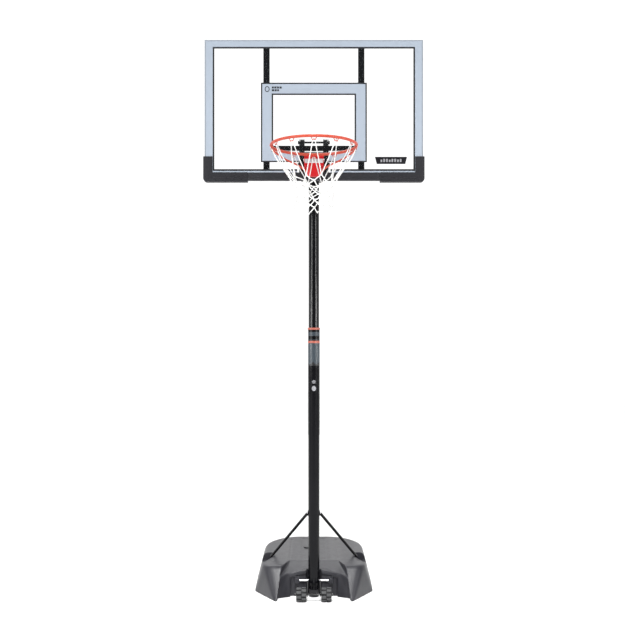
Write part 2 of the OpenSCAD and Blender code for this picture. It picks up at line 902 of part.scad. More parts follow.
module ring() {
    color(rim_red) translate([0, ring_y, ring_z])
        rotate_extrude($fn = 96) translate([ring_r, 0]) circle(r = ring_rod / 2);
}

// The housing's outline seen from the front, inset by a wall
function house_half(n) = [
    [house_x[0] - n, house_top - n],
    [house_x[0] - n, house_z[2]],
    [house_x[1] - n, house_z[1]],
    [house_x[1] - 14 - n / 2, house_z[0] + n]
];

module house_prism(n, y0, y1) {
    right = house_half(n);
    left = [for (i = [len(right) - 1 : -1 : 0]) [-right[i].x, right[i].y]];
    translate([0, y1, 0]) rotate([90, 0, 0]) linear_extrude(y1 - y0) polygon(concat(right, left));
}

// The wedge cut off each lower front corner, which leaves a nose; a growth leaves the wall behind it
module fold_cut(grow) {
    far = house_x[0] + 20;
    z0 = house_z[0] - 10;
    both_sides() translate([0, 0, z0]) linear_extrude(fold_z + grow - z0) offset(delta = grow)
        polygon([[nose_x, face_y - 20], [nose_x, face_y], [house_x[0], face_y + fold_depth],
            [far, face_y + fold_depth], [far, face_y - 20]]);
}

// The swinging housing: a tub open towards the board, whose top plate carries the ring
module rim_housing() {
    back = hinge_y + 11;
    color(rim_red) difference() {
        union() {
            difference() {
                house_prism(0, face_y, back);
                fold_cut(0);
                difference() {
                    house_prism(shell_t, face_y + shell_t, back + past);
                    fold_cut(shell_t);
                }
            }
            translate([-house_x[0], ring_y + ring_r - 4, house_top - 6]) cube([2 * house_x[0], 14, 6]);
            both_sides() translate([spring_x, 0, spring_z])
                bar_y_axis(8, face_y + past, face_y + shell_t + 8);
        }
        translate([-house_x[0] - past, back, hinge_z - 1]) rotate([-24, 0, 0])
            translate([0, 0, -160]) cube([2 * house_x[0] + 2 * past, 80, 161]);
        translate([-house_x[0] + shell_t, -550, hinge_z - 6]) cube([2 * (house_x[0] - shell_t), 40, 30]);
        translate([0, hinge_y, hinge_z]) bar_x_axis(hinge_r + run_gap, -60, 60);
    }
}

module rim_braces() {
    color(rim_red) both_sides() swept_rod(brace_route, brace_r);
}

module net_hooks() {
    hook_r = 9;
    wire = 2;
    color(rim_red) for (i = [0 : hook_count - 1])
        translate([0, ring_y, ring_z - 6]) rotate([0, 0, i * 360 / hook_count])
            translate([ring_r, 0, 0]) rotate([0, 0, 90]) rotate([-90, 0, 0])
                rotate_extrude(angle = 180, $fn = 24) translate([hook_r, 0]) circle(r = wire);
}

module net() {
    inner = [for (i = [len(net_profile) - 1 : -1 : 0]) [net_profile[i].x - net_t, net_profile[i].y]];
    color("white") translate([0, ring_y, 0]) rotate_extrude() polygon(concat(net_profile, inner));
}

base_tank();
water_fill();
fill_cap();
cap_seal();
pole_rod();
foot_cap();
wheel_brackets();
wheel_axle();
axle_caps();
wheel_left();
wheel_right();
pole_lower();
pole_middle();
pole_screw();
slide_collar();
height_label();
strut_left();
strut_right();
strut_bolt();
strut_base_bolts();
lock_housing();
lock_pin();
pin_knob();
pin_spring();
pole_upper();
guide_plug();
pole_cap();
head_bracket();
arm_upper_left();
arm_upper_right();
arm_lower_left();
arm_lower_right();
arm_bolts();
channel_left();
channel_right();
cross_bar();
board_bar_left();
board_bar_right();
frame_top();
frame_bottom();
frame_left();
frame_right();
board_panel();
corner_pad_left();
corner_pad_right();
bottom_pad();
board_badge();
backing_plate();
rim_spacers();
rim_bolts();
rim_mount();
hinge_pin();
rim_springs();
ring();
rim_housing();
rim_braces();
net_hooks();
net();
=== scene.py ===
import math
import random

import bmesh
import bpy
from mathutils import Matrix, Vector


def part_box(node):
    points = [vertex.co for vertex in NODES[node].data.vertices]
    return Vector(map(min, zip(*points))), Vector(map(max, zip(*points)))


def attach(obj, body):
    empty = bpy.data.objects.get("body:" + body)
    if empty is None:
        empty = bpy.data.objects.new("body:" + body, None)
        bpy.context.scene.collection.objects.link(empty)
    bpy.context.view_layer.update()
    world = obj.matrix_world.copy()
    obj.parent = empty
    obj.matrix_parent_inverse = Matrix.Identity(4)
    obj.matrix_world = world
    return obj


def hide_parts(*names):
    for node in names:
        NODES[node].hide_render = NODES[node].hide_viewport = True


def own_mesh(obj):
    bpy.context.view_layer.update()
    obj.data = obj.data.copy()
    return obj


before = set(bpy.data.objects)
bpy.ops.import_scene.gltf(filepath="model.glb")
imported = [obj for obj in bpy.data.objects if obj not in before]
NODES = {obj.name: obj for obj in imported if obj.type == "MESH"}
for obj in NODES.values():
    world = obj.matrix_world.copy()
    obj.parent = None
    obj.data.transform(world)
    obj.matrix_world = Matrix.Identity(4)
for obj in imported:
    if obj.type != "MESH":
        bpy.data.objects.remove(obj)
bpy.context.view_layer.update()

RNG = random.Random(7)

# ---- Camera: level, in front, a little above half height ----

cam_data = bpy.data.cameras.new("camera")
cam_data.lens = 53.4
cam_data.sensor_width = 36
cam_data.shift_x = -0.0022
cam_data.shift_y = 0.0621
cam = bpy.data.objects.new("camera", cam_data)
cam.location = (0, -5.978, 1.604)
cam.rotation_euler = (math.radians(90), 0, 0)
bpy.context.scene.collection.objects.link(cam)
bpy.context.scene.camera = cam


# ---- Studio ----

def area_light(name, pos, aim, size, energy, color=(1, 1, 1)):
    data = bpy.data.lights.new(name, "AREA")
    data.shape = "RECTANGLE"
    data.size, data.size_y = size
    data.energy = energy
    data.color = color
    o = bpy.data.objects.new(name, data)
    o.location = pos
    o.rotation_euler = (Vector(aim) - Vector(pos)).to_track_quat("-Z", "Y").to_euler()
    bpy.context.scene.collection.objects.link(o)
    return o


def studio():
    world = bpy.data.worlds.new("studio")
    world.use_nodes = True
    back = world.node_tree.nodes["Background"]
    back.inputs["Color"].default_value = (1.0, 1.0, 1.0, 1)
    tree = world.node_tree
    path = tree.nodes.new("ShaderNodeLightPath")
    way = tree.nodes.new("ShaderNodeTexCoord")
    split = tree.nodes.new("ShaderNodeSeparateXYZ")
    level = tree.nodes.new("ShaderNodeMapRange")
    for key, value in (("From Min", -0.35), ("From Max", 0.55), ("To Min", 0.13), ("To Max", 1.15)):
        level.inputs[key].default_value = value
    most = tree.nodes.new("ShaderNodeMath")
    most.operation = "MAXIMUM"
    tree.links.new(way.outputs["Generated"], split.inputs[0])
    tree.links.new(split.outputs["Y"], level.inputs["Value"])
    tree.links.new(level.outputs["Result"], most.inputs[0])
    tree.links.new(path.outputs["Is Camera Ray"], most.inputs[1])
    tree.links.new(most.outputs[0], back.inputs["Strength"])
    bpy.context.scene.world = world
    bpy.context.scene.view_settings.view_transform = "Standard"
    for side, x, power in (("left", -4.5, 72), ("right", 4.3, 64)):
        area_light("strip_" + side, (x, -4.4, 3.3), (0, 0.1, 2.4), (0.85, 3.2), 2.1 * power)
        area_light("strip_low_" + side, (x, -4.4, 0.7), (0, 0.1, 0.9), (0.5, 1.6), power / 7)
        area_light("shoulder_" + side, (x * 0.9, -1.9, 1.9), (0, 0.1, 0.2), (0.9, 0.9), power / 2)
    area_light("top", (0, -1.4, 6.4), (0, 0.2, 0.6), (3.0, 3.0), 70)
    for name, turn, power in (("sun_front", (33, 0, -12), 0.7), ("sun_back", (-38, 0, 20), 1.3)):
        data = bpy.data.lights.new(name, "SUN")
        data.energy = power
        data.angle = math.radians(35)
        o = bpy.data.objects.new(name, data)
        o.rotation_euler = [math.radians(a) for a in turn]
        bpy.context.scene.collection.objects.link(o)
    data = bpy.data.lights.new("base_spot", "SPOT")
    data.energy = 1150
    data.shadow_soft_size = 0.42
    data.spot_size = math.radians(18)
    data.spot_blend = 0.6
    o = bpy.data.objects.new("base_spot", data)
    o.location = (0, -2.7, 4.35)
    o.rotation_euler = (Vector((0, 0.12, 0.12)) - Vector(o.location)).to_track_quat("-Z", "Y").to_euler()
    bpy.context.scene.collection.objects.link(o)


# ---- Materials ----

class Mat:
    """A material under construction: a Principled shader and the nodes that feed it."""

    def __init__(self, name, rough=0.5, metallic=0.0, coat=0.0, coat_rough=0.1,
                 ior=1.45, spec=0.5, alpha=1.0):
        self.m = bpy.data.materials.new(name)
        self.m.use_nodes = True
        self.t = self.m.node_tree
        self.s = self.t.nodes["Principled BSDF"]
        for key, value in (("Roughness", rough), ("Metallic", metallic), ("Coat Weight", coat),
                           ("Coat Roughness", coat_rough), ("IOR", ior), ("Specular IOR Level", spec),
                           ("Alpha", alpha)):
            self.s.inputs[key].default_value = value
        self.co = self.node("ShaderNodeTexCoord").outputs["Object"]

    def node(self, kind, **props):
        n = self.t.nodes.new(kind)
        for k, v in props.items():
            setattr(n, k, v)
        return n

    def link(self, a, b):
        self.t.links.new(a, b)

    def noise(self, scale, detail=3.0, rough=0.55, stretch=(1, 1, 1)):
        source = self.co
        if stretch != (1, 1, 1):
            mp = self.node("ShaderNodeMapping")
            mp.inputs["Scale"].default_value = stretch
            self.link(self.co, mp.inputs["Vector"])
            source = mp.outputs["Vector"]
        n = self.node("ShaderNodeTexNoise")
        n.inputs["Scale"].default_value = scale
        n.inputs["Detail"].default_value = detail
        n.inputs["Roughness"].default_value = rough
        self.link(source, n.inputs["Vector"])
        return n.outputs["Fac"]

    def range(self, value, a, b, lo, hi):
        n = self.node("ShaderNodeMapRange")
        n.inputs["From Min"].default_value = a
        n.inputs["From Max"].default_value = b
        n.inputs["To Min"].default_value = lo
        n.inputs["To Max"].default_value = hi
        self.link(value, n.inputs["Value"])
        return n.outputs["Result"]

    def mix(self, fac, a, b):
        n = self.node("ShaderNodeMix", data_type="RGBA")
        for value, socket in ((fac, n.inputs["Factor"]), (a, n.inputs[6]), (b, n.inputs[7])):
            if isinstance(value, bpy.types.NodeSocket):
                self.link(value, socket)
            elif isinstance(value, (int, float)):
                socket.default_value = value
            else:
                socket.default_value = (*value, 1)
        return n.outputs[2]

    def math(self, op, a, b=0.5, c=0.5):
        n = self.node("ShaderNodeMath", operation=op)
        for i, value in enumerate((a, b, c)):
            if isinstance(value, bpy.types.NodeSocket):
                self.link(value, n.inputs[i])
            else:
                n.inputs[i].default_value = value
        return n.outputs[0]

    def axis(self, which):
        n = self.node("ShaderNodeSeparateXYZ")
        self.link(self.co, n.inputs[0])
        return n.outputs[which]

    def color(self, socket):
        self.link(socket, self.s.inputs["Base Color"])
        return self

    def rough(self, socket):
        self.link(socket, self.s.inputs["Roughness"])
        return self

    def bump(self, height, distance, strength=1.0):
        n = self.node("ShaderNodeBump")
        n.inputs["Strength"].default_value = strength
        n.inputs["Distance"].default_value = distance
        self.link(height, n.inputs["Height"])
        last = self.s.inputs["Normal"]
        if last.is_linked:
            self.link(last.links[0].from_socket, n.inputs["Normal"])
        self.link(n.outputs["Normal"], last)
        return self


def tint(c, k):
    return tuple(min(1.0, x * k) for x in c)


def powder_coat(name, color, rough=0.36, peel=420, vary=0.18, spec=0.5):
    """Powder-coated steel: orange peel, faint dust and a few rubbed specks."""
    m = Mat(name, rough, spec=spec)
    blotch = m.noise(9, 4)
    dust = m.range(m.noise(60, 5, 0.7), 0.6, 0.8, 0, 1)
    base = m.mix(blotch, tint(color, 1 - vary), tint(color, 1 + vary))
    m.color(m.mix(m.math("MULTIPLY", dust, 0.12), base, tint(color, 2.2)))
    m.rough(m.range(m.noise(35, 4), 0.3, 0.7, rough - 0.05, rough + 0.07))
    m.bump(m.noise(peel, 2), 0.00012, 0.3)
    return m.m


def moulded(name, color, rough=0.5, grain=700, depth=0.0009, strength=0.5, vary=0.12, spec=0.5):
    """Moulded plastic: fine leather grain, soft blotches and scuffs that are rougher and paler."""
    m = Mat(name, rough, spec=spec)
    scuff = m.range(m.noise(48, 6, 0.75, (1, 0.35, 1)), 0.6, 0.78, 0, 1)
    base = m.mix(m.noise(6, 4), tint(color, 1 - vary), tint(color, 1 + vary))
    m.color(m.mix(m.math("MULTIPLY", scuff, 0.22), base, tint(color, 1.7)))
    m.rough(m.range(m.noise(25, 5), 0.3, 0.7, rough - 0.06, rough + 0.1))
    m.bump(m.noise(grain, 3, 0.6), depth, strength)
    return m.m


def tank_skin():
    """Blow-moulded polyethylene: lengthwise bands painted paler as painted light from shallow steps,
    ribs, leather grain and pale scuffs.
    """
    m = Mat("tank_hdpe", spec=0.22)
    x = m.axis("X")
    # Painted light: stripes along the deck are painted paler where light catches shallow steps; the same
    # stripes also make the skin a little rougher.
    painted_light_bands = m.range(m.math("PINGPONG", m.math("ADD", x, 0.39), 0.09), 0.03, 0.06, 0, 1)
    base = m.mix(m.noise(6, 4), (0.019, 0.019, 0.023), (0.024, 0.024, 0.028))
    base = m.mix(m.math("MULTIPLY", painted_light_bands, 0.35), base, (0.040, 0.040, 0.045))
    scuff = m.range(m.noise(60, 6, 0.75), 0.62, 0.8, 0, 1)
    m.color(m.mix(m.math("MULTIPLY", scuff, 0.15), base, (0.06, 0.06, 0.062)))
    worn = m.range(m.noise(25, 5), 0.3, 0.7, 0.30, 0.36)
    m.rough(m.math("ADD", worn, m.math("MULTIPLY", painted_light_bands, 0.05)))
    m.bump(m.math("PINGPONG", x, 0.012), 0.0012, 0.25)
    m.bump(m.noise(650, 3, 0.6), 0.0006, 0.35)
    return m.m


def plated(name, color, rough=0.3, brush=(1, 1, 1)):
    """Zinc-plated or spring steel: cloudy plating, fine draw lines and dull spots."""
    m = Mat(name, rough, metallic=1.0)
    m.color(m.mix(m.noise(70, 5, 0.7), tint(color, 0.72), tint(color, 1.1)))
    m.rough(m.range(m.noise(160, 4, 0.6, brush), 0.3, 0.7, rough - 0.1, rough + 0.18))
    m.bump(m.noise(900, 2, 0.5, brush), 0.0003, 0.3)
    return m.m


def printed(name, color, rough=0.42):
    """Screen ink: slightly uneven cover, painted shade that darkens it towards the top so it is paler
    towards the foot, and a fine dry texture.
    """
    m = Mat(name, rough)
    cover = m.mix(m.noise(14, 4), tint(color, 0.95), tint(color, 1.05))
    # Painted shade: the colour darkens with height, up to three tenths of the way to a darker tint at the
    # top.
    m.color(m.mix(m.range(m.axis("Z"), 2.65, 3.45, 0.0, 0.3), cover, tint(color, 0.6)))
    m.rough(m.range(m.noise(90, 3), 0.3, 0.7, rough - 0.05, rough + 0.08))
    m.bump(m.noise(1500, 2), 0.0001, 0.25)
    return m.m


def clear_panel():
    """Clear polycarbonate: a faint haze, fine wipe marks and a slight wave."""
    m = Mat("clear_polycarbonate", 0.06, spec=0.35, alpha=0.012)
    m.color(m.mix(m.noise(5, 3), (0.62, 0.68, 0.72), (0.72, 0.77, 0.80)))
    m.rough(m.range(m.noise(30, 5, 0.7, (1, 1, 0.2)), 0.35, 0.75, 0.04, 0.14))
    m.bump(m.noise(3, 1), 0.002, 0.08)
    return m.m


def cord_mat():
    """Braided polyester cord: three-strand ripple in the bump, with painted shade greying the grooves."""
    m = Mat("net_cord", 0.75, spec=0.25)
    wave = m.node("ShaderNodeTexWave", wave_type="BANDS", bands_direction="DIAGONAL")
    wave.inputs["Scale"].default_value = 90
    wave.inputs["Distortion"].default_value = 1.5
    m.link(m.co, wave.inputs["Vector"])
    # Painted shade: where the ripple is low, in the grooves, the cord is painted greyer.
    m.color(m.mix(wave.outputs["Fac"], (0.66, 0.66, 0.65), (0.84, 0.84, 0.83)))
    m.rough(m.range(m.noise(300, 3), 0.3, 0.7, 0.65, 0.85))
    m.bump(wave.outputs["Fac"], 0.0012, 0.6)
    m.bump(m.noise(2200, 2), 0.0004, 0.4)
    m.s.inputs["Sheen Weight"].default_value = 0.2
    return m.m


def label_mat():
    """The height label: a blank blue-grey film with a stepped lower edge."""
    m = Mat("label_film", 0.35, coat=0.3, coat_rough=0.12)
    z = m.axis("Z")
    x = m.axis("X")
    step = m.math("MULTIPLY", m.math("PINGPONG", m.math("ADD", x, 0.09), 0.021), 0.9)
    edge = m.math("GREATER_THAN", m.math("ADD", z, step), 1.536)
    tone = m.mix(m.noise(55, 4), (0.028, 0.040, 0.050), (0.055, 0.070, 0.085))
    body = m.mix(edge, (0.014, 0.014, 0.016), tone)
    m.color(body)
    m.rough(m.range(m.noise(70, 3), 0.3, 0.7, 0.28, 0.42))
    m.bump(m.noise(600, 2), 0.0002, 0.3)
    return m.m


# ---- Mesh helpers ----

class Parts:
    """Vertices and faces gathered from several forms."""

    def __init__(self):
        self.v, self.f = [], []

    def add(self, verts, faces, place=None):
        n = len(self.v)
        self.v += [place @ Vector(p) for p in verts] if place else [Vector(p) for p in verts]
        self.f += [[i + n for i in f] for f in faces]
        return self

    def box(self, lo, hi, place=None):
        v = [(x, y, z) for x in (lo[0], hi[0]) for y in (lo[1], hi[1]) for z in (lo[2], hi[2])]
        f = [(0, 1, 3, 2), (4, 6, 7, 5), (0, 4, 5, 1), (2, 3, 7, 6), (0, 2, 6, 4), (1, 5, 7, 3)]
        return self.add(v, f, place)

    def prism(self, outline, lo, hi, place=None):
        """A flat outline in XY pushed from lo to hi along Z."""
        n = len(outline)
        v = [(x, y, lo) for x, y in outline] + [(x, y, hi) for x, y in outline]
        f = [list(range(n))[::-1], list(range(n, 2 * n))]
        f += [(i, (i + 1) % n, n + (i + 1) % n, n + i) for i in range(n)]
        return self.add(v, f, place)

    def lathe(self, profile, sides=48, place=None):
        """A closed profile of (radius, height) turned about Z."""
        n = len(profile)
        v = [(r * math.cos(a), r * math.sin(a), h) for k in range(sides)
             for a in (2 * math.pi * k / sides,) for r, h in profile]
        f = [(k * n + i, q * n + i, q * n + (i + 1) % n, k * n + (i + 1) % n)
             for k in range(sides) for q in ((k + 1) % sides,) for i in range(n)]
        return self.add(v, f, place)

    def tube(self, path, radius, sides=10, closed=False):
        """A round rod along points; radius is a number or one number a point."""
        path = [Vector(p) for p in path]
        n = len(path)
        radii = radius if hasattr(radius, "__len__") else [radius] * n
        verts = []
        up = None
        for i, p in enumerate(path):
            a = path[(i - 1) % n] if closed or i else p
            b = path[(i + 1) % n] if closed or i < n - 1 else p
            t = (b - a).normalized()
            if up is None:
                up = t.orthogonal().normalized()
            up = (up - t * up.dot(t)).normalized()
            side = t.cross(up)
            verts += [p + radii[i] * (math.cos(q) * up + math.sin(q) * side)
                      for q in (2 * math.pi * k / sides for k in range(sides))]
        last = n if closed else n - 1
        f = [(i * sides + k, i * sides + (k + 1) % sides, ((i + 1) % n) * sides + (k + 1) % sides,
              ((i + 1) % n) * sides + k) for i in range(last) for k in range(sides)]
        if not closed:
            f += [list(range(sides))[::-1], [(n - 1) * sides + k for k in range(sides)]]
        return self.add(verts, f)


def curve_through(points, per=6, closed=False):
    """Catmull-Rom points through the given ones."""
    p = [Vector(q) for q in points]
    n = len(p)
    out = []
    for i in range(n if closed else n - 1):
        a = p[(i - 1) % n] if closed or i else p[0] * 2 - p[1]
        b, c = p[i], p[(i + 1) % n]
        d = p[(i + 2) % n] if closed or i < n - 2 else p[-1] * 2 - p[-2]
        for k in range(per):
            t = k / per
            out.append(0.5 * ((2 * b) + (c - a) * t + (2 * a - 5 * b + 4 * c - d) * t * t
                              + (3 * b - a - 3 * c + d) * t ** 3))
    return out if closed else out + [p[-1]]


def smooth_by_angle(mesh, angle=38):
    mesh.polygons.foreach_set("use_smooth", [True] * len(mesh.polygons))
    mesh.set_sharp_from_angle(angle=math.radians(angle))
    mesh.update()


def place_piece(o, material, body, nodes=(), angle=38):
    o.data.materials.clear()
    o.data.materials.append(material)
    smooth_by_angle(o.data, angle)
    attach(o, body)
    if nodes:
        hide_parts(*nodes)
    return o


def new_object(name, parts):
    mesh = bpy.data.meshes.new(name)
    mesh.from_pydata([tuple(v) for v in parts.v], [], parts.f)
    mesh.validate()
    bm = bmesh.new()
    bm.from_mesh(mesh)
    bmesh.ops.recalc_face_normals(bm, faces=bm.faces)
    bm.to_mesh(mesh)
    bm.free()
    o = bpy.data.objects.new(name, mesh)
    bpy.context.scene.collection.objects.link(o)
    return o


def baked(o):
    """The object's mesh with its modifiers applied, and the modifiers gone."""
    graph = bpy.context.evaluated_depsgraph_get()
    mesh = bpy.data.meshes.new_from_object(o.evaluated_get(graph))
    o.modifiers.clear()
    o.data = mesh
    return o


def bevelled(o, width, segments=2, angle=30):
    mod = o.modifiers.new("bevel", "BEVEL")
    mod.width = width
    mod.segments = segments
    mod.limit_method = "ANGLE"
    mod.angle_limit = math.radians(angle)
    mod.use_clamp_overlap = True
    return baked(o)


def piece(name, parts, material, body, nodes=(), bevel=0.0, segments=2, angle=38):
    o = new_object(name, parts)
    if bevel:
        bevelled(o, bevel, segments)
    return place_piece(o, material, body, nodes, angle)


def hull_object(name, points):
    bm = bmesh.new()
    for p in points:
        bm.verts.new(p)
    out = bmesh.ops.convex_hull(bm, input=bm.verts)
    junk = {g for g in out["geom_interior"] + out["geom_unused"] if isinstance(g, bmesh.types.BMVert)}
    bmesh.ops.delete(bm, geom=list(junk), context="VERTS")
    bmesh.ops.recalc_face_normals(bm, faces=bm.faces)
    mesh = bpy.data.meshes.new(name)
    bm.to_mesh(mesh)
    bm.free()
    o = bpy.data.objects.new(name, mesh)
    bpy.context.scene.collection.objects.link(o)
    return o


def cut(o, cutter):
    mod = o.modifiers.new("cut", "BOOLEAN")
    mod.operation = "DIFFERENCE"
    mod.solver = "EXACT"
    mod.object = cutter
    baked(o)
    bpy.data.objects.remove(cutter)
    return o


def soften(node, width, segments=2):
    """Small rounded edges on a CAD node, by modifiers only."""
    o = NODES[node]
    weld = o.modifiers.new("weld", "WELD")
    weld.merge_threshold = 0.00002
    flat = o.modifiers.new("flat", "DECIMATE")
    flat.decimate_type = "DISSOLVE"
    flat.angle_limit = math.radians(0.5)
    mod = o.modifiers.new("bevel", "BEVEL")
    mod.width = width
    mod.segments = segments
    mod.limit_method = "ANGLE"
    mod.angle_limit = math.radians(40)
    mod.harden_normals = True


def dress(material, *names):
    for n in names:
        o = NODES[n]
        o.data.materials.clear()
        o.data.materials.append(material)


# ---- Base ----

# Right halves of the tank's outlines at the floor and at the deck, in millimetres
FLOOR_SIDE = [(252, -38), (394, 222), (397, 500), (397, 790), (389, 872),
              (367, 952), (312, 1022), (240, 1068), (182, 1086), (120, 1092.5)]
DECK_SIDE = [(290, 89), (318, 100), (338, 138), (348, 217), (348, 770),
             (338, 842), (314, 910), (268, 988), (206, 1048), (130, 1078)]
ARCH_CENTRE = -266
ARCH_INNER, ARCH_OUTER = 416, 440


def arch_height(radius, x):
    """Height in millimetres of the arch over the wheels."""
    return ARCH_CENTRE + math.sqrt(radius ** 2 - x * x)


def mirrored(half):
    return half + [(-x, y) for x, y in reversed(half)]


def inset_convex(outline, d):
    """A convex outline moved inward by d."""
    n = len(outline)
    centre = Vector((0, sum(y for _, y in outline) / n))
    lines = []
    for i in range(n):
        a, b = Vector(outline[i]), Vector(outline[(i + 1) % n])
        t = (b - a).normalized()
        normal = Vector((-t.y, t.x))
        if normal.dot(centre - a) < 0:
            normal = -normal
        lines.append((a + normal * d, t))
    out = []
    for i in range(n):
        (p, t), (q, u) = lines[i - 1], lines[i]
        k = ((q.x - p.x) * u.y - (q.y - p.y) * u.x) / (t.x * u.y - t.y * u.x)
        out.append(tuple(p + t * k))
    return out


def lift(outline, z):
    return [Vector((x, y, z)) / 1000 for x, y in outline]


def remeshed(o, voxel, rounds, weight=None):
    """One even skin, smoothed; weight gives each point its share of the smoothing."""
    remesh = o.modifiers.new("remesh", "REMESH")
    remesh.mode = "VOXEL"
    remesh.voxel_size = voxel
    baked(o)
    soft = o.modifiers.new("soft", "SMOOTH")
    soft.factor = 0.5
    soft.iterations = rounds
    if weight:
        group = o.vertex_groups.new(name="share")
        for v in o.data.vertices:
            group.add([v.index], max(0.0, min(1.0, weight(v.co))), "REPLACE")
        soft.vertex_group = "share"
    baked(o)
    o.vertex_groups.clear()
    return o


def tank():
    deck = inset_convex(mirrored(DECK_SIDE), -1.5)
    foot = inset_convex(mirrored(FLOOR_SIDE), -2.5)
    crown = inset_convex(deck, 12)
    o = hull_object("tank_shell",
                    lift(foot, 0) + lift(foot, 1) + lift(deck, 189) + lift(crown, 201))
    remeshed(o, 0.008, 40, lambda p: (p.z - 0.006) / 0.05 * (1.0 if p.y < 0.25 else 0.3))
    bay = hull_object("c", lift(mirrored([(237, -130), (237, 32), (143, 78)]), -3)
                      + lift(mirrored([(204, -130), (204, 60), (150, 110)]), 206))
    cut(o, bay)
    slope = hull_object("c", [Vector(p) / 1000 for s in (-1, 1) for p in (
        (s * 222, 40, 132), (s * 222, 41, 132), (s * 222, 40, 240),
        (s * 165, 246, 200), (s * 165, 247, 200), (s * 165, 246, 240))])
    cut(o, slope)
    arch = [(x, arch_height(ARCH_INNER, x)) for x in range(155, -156, -10)]
    arch += [(-155, -3), (155, -3)]
    pocket = Parts()
    turn = Matrix.Rotation(math.radians(90), 4, "X")
    pocket.prism([(x / 1000, z / 1000) for x, z in arch], -0.1, 0.15, turn)
    cut(o, new_object("c", pocket))
    cut(o, new_object("c", Parts().box((-0.048, -0.15, -0.003), (0.048, 0.134, 0.21))))
    for s in (-1, 1):
        xs = sorted((s * 0.283, s * 0.48))
        cut(o, new_object("c", Parts().box((xs[0], 0.395, 0.14), (xs[1], 0.495, 0.3))))
        cut(o, hull_object("c", [Vector((s * x, y, z)) for x, y, z in (
            (0.27, 0.24, 0.2), (0.27, 0.495, 0.2), (0.36, 0.20, 0.2), (0.36, 0.395, 0.144),
            (0.36, 0.495, 0.144), (0.5, 0.20, 0.2), (0.5, 0.395, 0.144), (0.5, 0.495, 0.144),
            (0.27, 0.24, 0.3), (0.27, 0.495, 0.3), (0.5, 0.20, 0.3), (0.5, 0.495, 0.3))]))
        groove = Parts().box((s * 0.165 - 0.007, 0.3, 0.196), (s * 0.165 + 0.007, 0.96, 0.21))
        cut(o, new_object("c", groove))
    cut(o, new_object("c", Parts().box((-0.088, 0.28, 0.1975), (0.088, 1.0, 0.21))))
    seat = Parts().lathe([(0.0001, 0.1935), (0.036, 0.1935), (0.036, 0.22), (0.0001, 0.22)], 48,
                         Matrix.Translation((-0.042, 0.676, 0)))
    cut(o, new_object("c", seat))
    brow = Parts()
    outer = [(x / 1000, arch_height(ARCH_OUTER, x) / 1000) for x in range(-155, 156, 10)]
    inner = [(x / 1000, arch_height(ARCH_INNER, x) / 1000) for x in range(155, -156, -10)]
    brow.prism(outer + inner, -0.166, -0.090, turn)
    gap = Parts().box((-0.048, 0.05, 0), (0.048, 0.134, 0.25))
    brow = cut(new_object("brow", brow), new_object("c", gap))
    lugs = Parts()
    for s in (-1, 1):
        xs = sorted((s * 0.095, s * 0.125))
        lugs.box((xs[0], 0.070, 0.088), (xs[1], 0.106, 0.122))
    lug = new_object("lugs", lugs)
    bpy.context.view_layer.objects.active = o
    with bpy.context.temp_override(active_object=o, selected_editable_objects=[o, lug, brow]):
        bpy.ops.object.join()
    remeshed(o, 0.005, 2)
    thin = o.modifiers.new("thin", "DECIMATE")
    thin.ratio = 0.5
    baked(o)
    return place_piece(o, MATS["tank"], "base", ["base_tank"], 60)


def wheel(name, body, node, sign):
    """A barrel with two rows of staggered tread blocks, a rim lip and a spoked hub on each face."""
    lo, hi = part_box(node)
    w = hi.x - lo.x
    r = 0.045
    centre = (lo + hi) / 2
    place = Matrix.Translation((lo.x, centre.y, centre.z)) @ Matrix.Rotation(math.radians(90), 4, "Y")
    p, tread = Parts(), Parts()
    p.lathe([(0.0062, 0.001), (0.013, 0.001), (0.014, 0.009), (0.031, 0.010),
             (0.033, 0.0015), (r - 0.008, 0.001), (r - 0.006, 0.004), (r - 0.006, w - 0.004),
             (r - 0.008, w - 0.001), (r - 0.012, w - 0.0015), (0.031, w - 0.010),
             (0.014, w - 0.009), (0.013, w - 0.001), (0.0062, w - 0.001)], 64, place)
    count = 9
    for row in range(2):
        z0 = 0.003 + row * (w / 2 - 0.001)
        z1 = z0 + w / 2 - 0.005
        for k in range(count):
            a = 2 * math.pi * (k + 0.5 * row) / count
            half = math.pi / count * 0.58
            ring = [(rr * math.cos(q), rr * math.sin(q)) for rr, q in (
                (r - 0.008, a - half), (r, a - half), (r, a - half / 3), (r, a + half / 3), (r, a + half),
                (r - 0.008, a + half))]
            tread.prism(ring, z0, z1, place)
    for face in (0.0045, w - 0.0105):
        for k in range(6):
            spin = place @ Matrix.Rotation(math.pi * k / 3, 4, "Z")
            p.box((0.012, -0.0025, face), (0.034, 0.0025, face + 0.006), spin)
    # The blocks are drawn in the paler copy of the wheel plastic, which is painted light.
    piece(name + "_blocks", tread, MATS["tread"], body, [node], bevel=0.0008)
    return piece(name, p, MATS["wheel"], body, [node], bevel=0.0008)


# ---- Springs ----

def coil(parts, start, direction, radius, wire, length, turns, sides=8, per=20):
    """A compression spring from start, with closed end turns."""
    d = Vector(direction).normalized()
    u = d.orthogonal().normalized()
    v = d.cross(u)
    steps = turns * per
    path = []
    for i in range(steps + 1):
        t = i / per
        if t < 1:
            run = 0.5 * t * 2 * wire
        elif t > turns - 1:
            run = length - 2 * wire - 0.5 * (turns - t) * 2 * wire
        else:
            run = wire + (length - 4 * wire) * (t - 1) / (turns - 2)
        q = 2 * math.pi * t
        path.append(Vector(start) + d * (wire + run) + radius * (math.cos(q) * u + math.sin(q) * v))
    return parts.tube(path, wire, sides)


